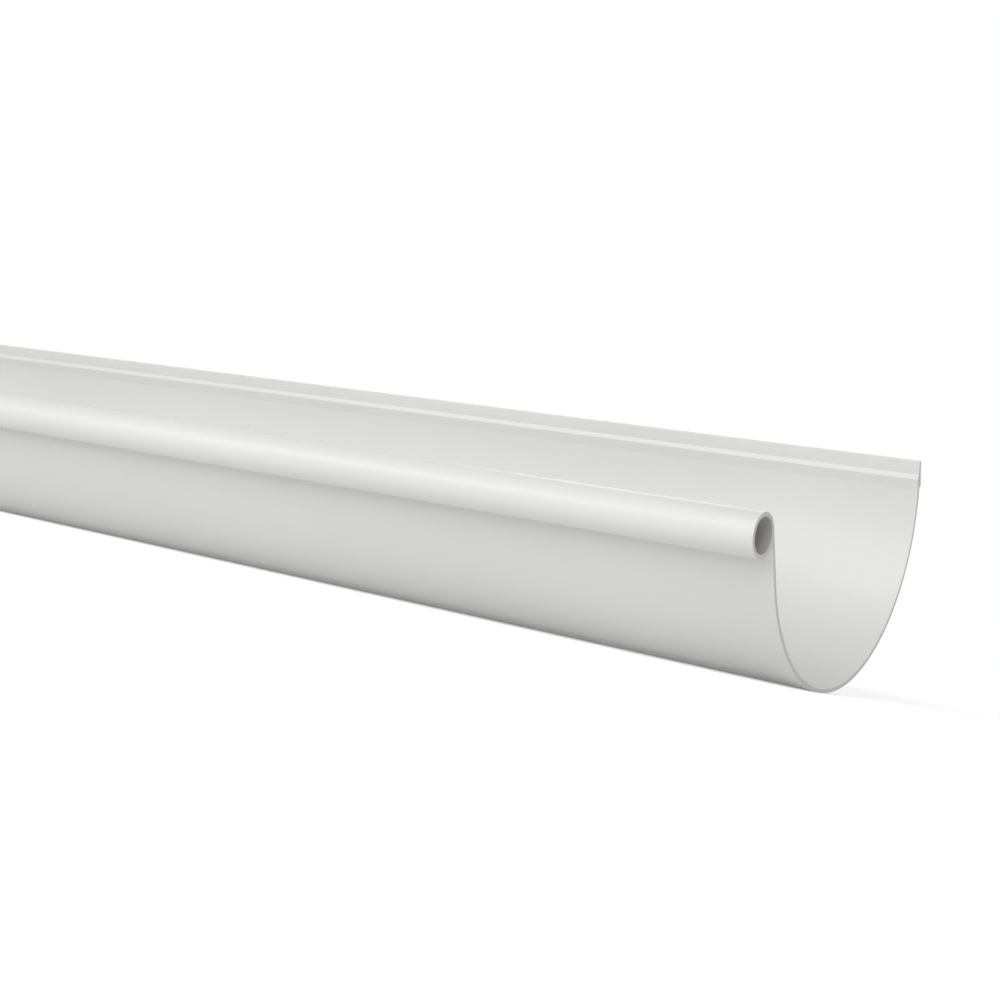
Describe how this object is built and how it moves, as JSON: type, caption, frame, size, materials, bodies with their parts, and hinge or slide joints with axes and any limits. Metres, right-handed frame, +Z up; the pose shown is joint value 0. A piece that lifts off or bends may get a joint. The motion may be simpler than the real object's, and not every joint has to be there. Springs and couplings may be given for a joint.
{
  "type": "half-round gutter length",
  "caption": "Plain half-round rain gutter with a hollow round bead along the front edge and a ridged back rim, cut square at both ends.",
  "frame": {"origin": "on the floor, under the middle of the overall box", "axes": "+X along the gutter's length, +Y towards the back rim, -Y towards the front bead, +Z up"},
  "size_m": [2, 0.1429, 0.0948],
  "materials": {
    "gutter": "satin off-white rigid PVC, with a saw-cut face at each end"
  },
  "bodies": {
    "root": {"gutter": "gutter"}
  },
  "joints": []
}
